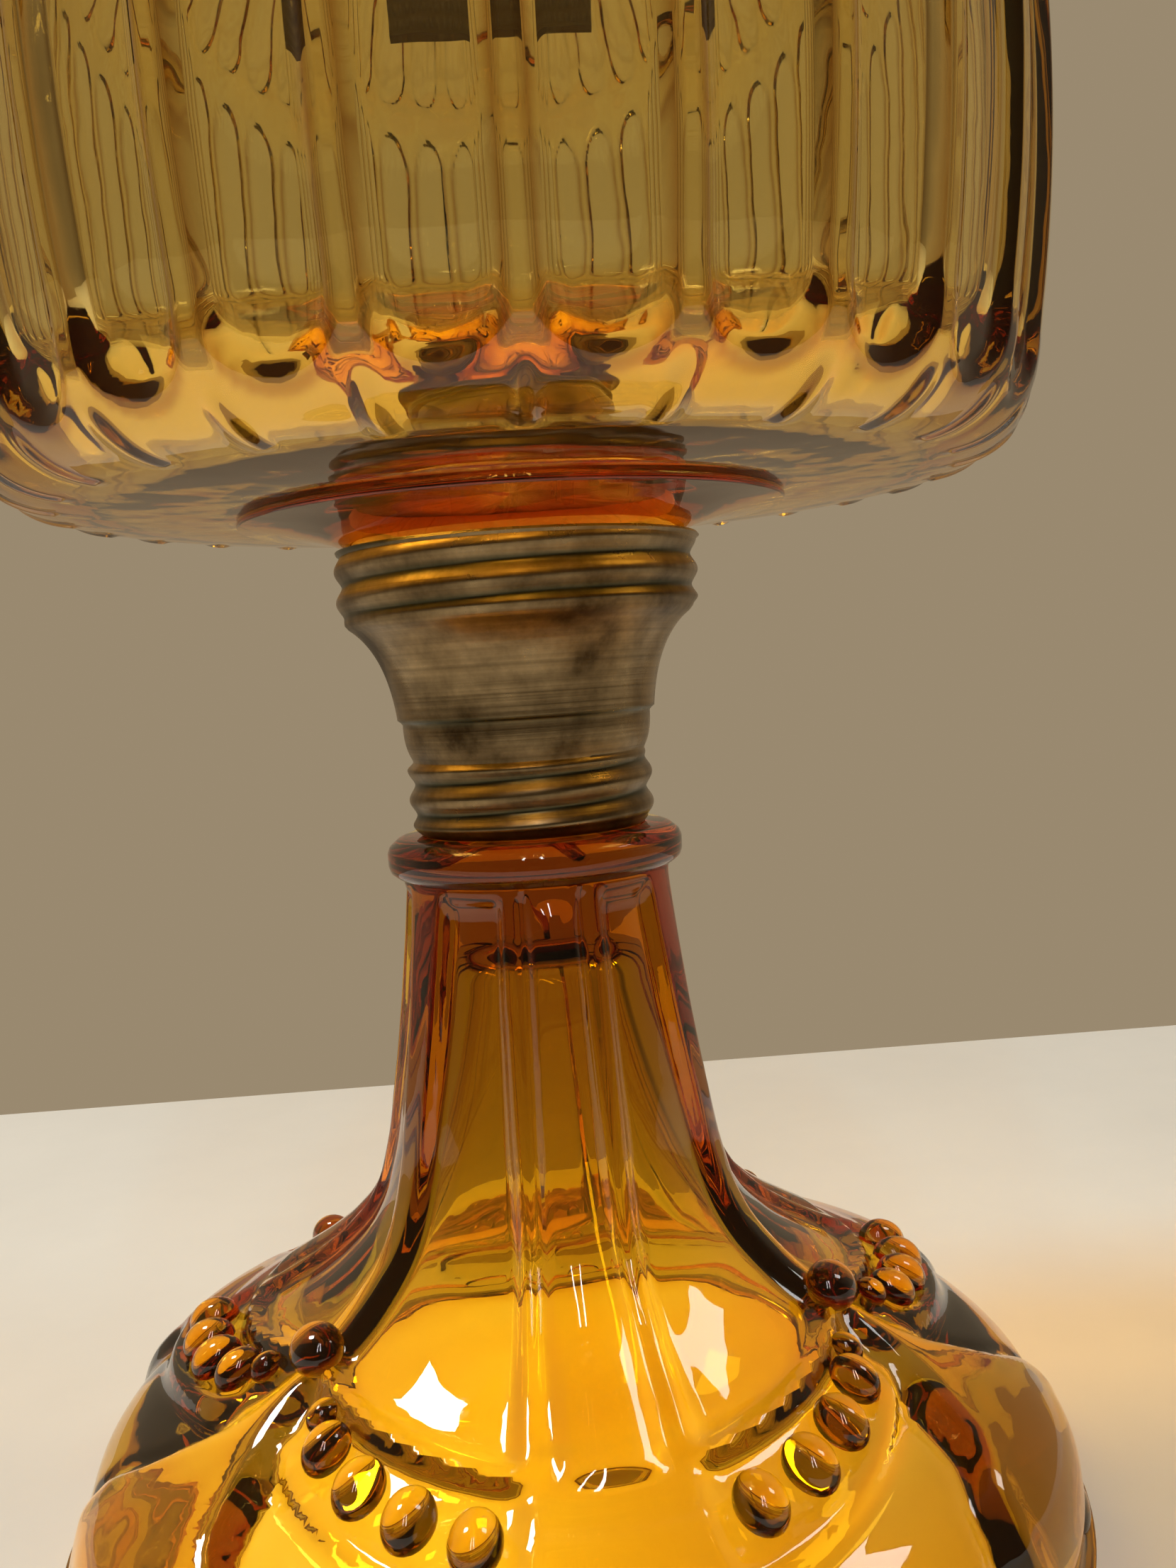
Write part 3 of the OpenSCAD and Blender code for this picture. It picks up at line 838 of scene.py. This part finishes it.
def build_stage():
    settings = bpy.context.scene.oil_lamp_stage
    clear_selection()
    bpy.ops.mesh.primitive_cube_add(size=1.0)
    floor = bpy.context.object
    floor.name = "floor"
    places = coords(floor) * MM
    low = np.array([-FLOOR_SIDE, -FLOOR_FRONT, -FLOOR_THICKNESS])
    high = np.array([FLOOR_SIDE, settings.floor_depth, 0.0])
    set_coords(floor, (low + (places + 0.5) * (high - low)) / MM)
    coat(floor, floor_material(settings.floor_color))

    for light in LIGHTS:
        area_light(*light)

    world = bpy.data.worlds.new("studio")
    bpy.context.scene.world = world
    world.use_nodes = True
    background = world.node_tree.nodes["Background"]
    sky = world.node_tree
    direction = add(sky, "ShaderNodeTexCoord").outputs["Generated"]
    depth = add(sky, "ShaderNodeSeparateXYZ", Vector=direction).outputs["Y"]
    shade = tuple(FRONT_SHADE * c for c in settings.backdrop_color)
    sky.links.new(mix_colors(sky, ranged(sky, depth, -0.35, 0.3, 0, 1), (*shade, 1),
                             (*settings.backdrop_color, 1)), background.inputs["Color"])
    bpy.context.scene.view_settings.view_transform = "Standard"
    background.inputs["Strength"].default_value = 1.0

    right, up, forward = camera_frame(*map(math.radians, CAMERA_TURN))
    bpy.ops.object.camera_add()
    camera = bpy.context.object
    camera.name = "front_view"
    turn = Matrix((right, up, -forward)).transposed()
    camera.matrix_world = Matrix.Translation(Vector(CAMERA_PLACE)) @ turn.to_4x4()
    camera.data.lens = CAMERA_LENS
    camera.data.sensor_width = 36
    camera.data.clip_start = 0.01
    bpy.context.scene.camera = camera


# ---------------------------------------------------------------- settings, operators and panel

class OilLampGlass(bpy.types.PropertyGroup):
    flutes: bpy.props.IntProperty(
        name="Font flutes", description="Number of sunk panels round the font", default=28, min=12, max=40)
    foot_color: bpy.props.FloatVectorProperty(
        name="Foot glass", description="Colour the foot's glass lets through", default=(0.93, 0.82, 0.02),
        subtype="COLOR", size=3, min=0, max=1)
    foot_depth: bpy.props.FloatProperty(
        name="Foot colour depth", description="How quickly the foot's glass takes up light, per metre",
        default=420.0, min=0)
    font_color: bpy.props.FloatVectorProperty(
        name="Font glass", description="Colour the font's glass lets through", default=(0.95, 0.75, 0.04),
        subtype="COLOR", size=3, min=0, max=1)
    font_depth: bpy.props.FloatProperty(
        name="Font colour depth", description="How quickly the font's glass takes up light, per metre",
        default=150.0, min=0)


class OilLampBrass(bpy.types.PropertyGroup):
    connector_color: bpy.props.FloatVectorProperty(
        name="Connector brass", description="Colour of the connector where it is rubbed",
        default=(0.36, 0.25, 0.125), subtype="COLOR", size=3, min=0, max=1)
    burner_color: bpy.props.FloatVectorProperty(
        name="Burner brass", description="Colour of the burner where it is rubbed",
        default=(0.68, 0.49, 0.22), subtype="COLOR", size=3, min=0, max=1)


class OilLampStage(bpy.types.PropertyGroup):
    floor_depth: bpy.props.FloatProperty(
        name="Floor depth", description="Distance from the lamp's axis to the floor's back edge",
        default=0.183, unit="LENGTH")
    floor_color: bpy.props.FloatVectorProperty(
        name="Floor", description="Colour of the floor", default=(0.84, 0.8, 0.7), subtype="COLOR", size=3)
    backdrop_color: bpy.props.FloatVectorProperty(
        name="Backdrop", description="Colour behind the lamp", default=(0.32, 0.25, 0.16),
        subtype="COLOR", size=3)


class LAMP_OT_foot(bpy.types.Operator):
    """Model the bell-shaped pressed-glass foot with its ribbon, swags, beads and petals"""
    bl_idname = "lamp.foot"
    bl_label = "Foot"

    def execute(self, context):
        build_foot()
        return {"FINISHED"}


class LAMP_OT_connector(bpy.types.Operator):
    """Model the spun brass connector with its rolled threads"""
    bl_idname = "lamp.connector"
    bl_label = "Connector"

    def execute(self, context):
        build_connector()
        return {"FINISHED"}


class LAMP_OT_font(bpy.types.Operator):
    """Model the fluted glass font"""
    bl_idname = "lamp.font"
    bl_label = "Font"

    def execute(self, context):
        build_font()
        return {"FINISHED"}


class LAMP_OT_burner(bpy.types.Operator):
    """Give the burner, collar, winder and plaster their finishes"""
    bl_idname = "lamp.burner"
    bl_label = "Burner"

    def execute(self, context):
        finish_frame_pieces()
        return {"FINISHED"}


class LAMP_OT_wick(bpy.types.Operator):
    """Model the woven wick"""
    bl_idname = "lamp.wick"
    bl_label = "Wick"

    def execute(self, context):
        build_wick()
        return {"FINISHED"}


class LAMP_OT_stage(bpy.types.Operator):
    """Set up the floor, lights, backdrop and camera"""
    bl_idname = "lamp.stage"
    bl_label = "Stage"

    def execute(self, context):
        build_stage()
        return {"FINISHED"}


class LAMP_PT_panel(bpy.types.Panel):
    """Buttons for each part of the lamp"""
    bl_idname = "LAMP_PT_panel"
    bl_label = "Oil Lamp"
    bl_space_type = "VIEW_3D"
    bl_region_type = "UI"
    bl_category = "Oil Lamp"

    def draw(self, context):
        for name in SETTINGS:
            group = getattr(context.scene, name)
            for key in group.__annotations__:
                self.layout.prop(group, key)
        for operator in OPERATORS:
            self.layout.operator(operator.bl_idname)


OPERATORS = (LAMP_OT_foot, LAMP_OT_connector, LAMP_OT_font, LAMP_OT_burner, LAMP_OT_wick, LAMP_OT_stage)
SETTINGS = {"oil_lamp_glass": OilLampGlass, "oil_lamp_brass": OilLampBrass, "oil_lamp_stage": OilLampStage}


def register():
    for kind in (*SETTINGS.values(), *OPERATORS, LAMP_PT_panel):
        bpy.utils.register_class(kind)
    for name, kind in SETTINGS.items():
        setattr(bpy.types.Scene, name, bpy.props.PointerProperty(type=kind))


def unregister():
    for name in SETTINGS:
        delattr(bpy.types.Scene, name)
    for kind in (LAMP_PT_panel, *OPERATORS[::-1], *SETTINGS.values()):
        bpy.utils.unregister_class(kind)


def main():
    register()
    bpy.ops.lamp.foot()
    bpy.ops.lamp.connector()
    bpy.ops.lamp.font()
    bpy.ops.lamp.burner()
    bpy.ops.lamp.wick()
    bpy.ops.lamp.stage()


if __name__ == "__main__":
    main()
